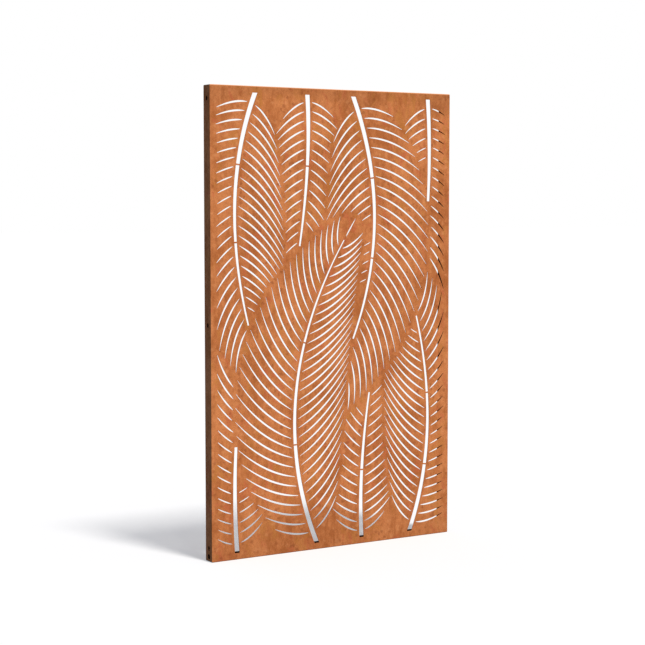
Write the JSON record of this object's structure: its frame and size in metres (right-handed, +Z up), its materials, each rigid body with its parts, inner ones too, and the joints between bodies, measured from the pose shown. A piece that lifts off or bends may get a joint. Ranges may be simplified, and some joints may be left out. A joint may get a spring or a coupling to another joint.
{
  "type": "laser cut garden screen",
  "caption": "Upright laser cut screen of weathering steel: a slotted leaf-frond face sheet studded to a mitred frame of folded channels, with bolt slots down both sides.",
  "frame": {"origin": "on the ground in the middle of the screen's width and depth", "axes": "+Z up; the cut face looks along -Y; +X to the right seen from the front"},
  "size_m": [1.1, 0.05, 1.8],
  "materials": {
    "rusted_face": "matt orange-brown rust patina on weathering steel, mottled",
    "rusted_channel": "matt rust patina on weathering steel, a little darker",
    "rusted_plate": "matt rust patina on weathering steel",
    "rivet_steel": "dull steel rivet with rust bloom",
    "stud_steel": "dull plated weld stud",
    "zinc_fixing": "dull zinc plating"
  },
  "bodies": {
    "root": {"face_sheet": "rusted_face", "left_channel": "rusted_channel", "right_channel": "rusted_channel", "top_channel": "rusted_channel", "bottom_channel": "rusted_channel", "corner_plate_top_left": "rusted_plate", "corner_plate_top_right": "rusted_plate", "corner_plate_bottom_left": "rusted_plate", "corner_plate_bottom_right": "rusted_plate", "corner_rivets": "rivet_steel", "face_studs": "stud_steel", "stud_washers": "zinc_fixing", "stud_nuts": "zinc_fixing"}
  },
  "joints": []
}
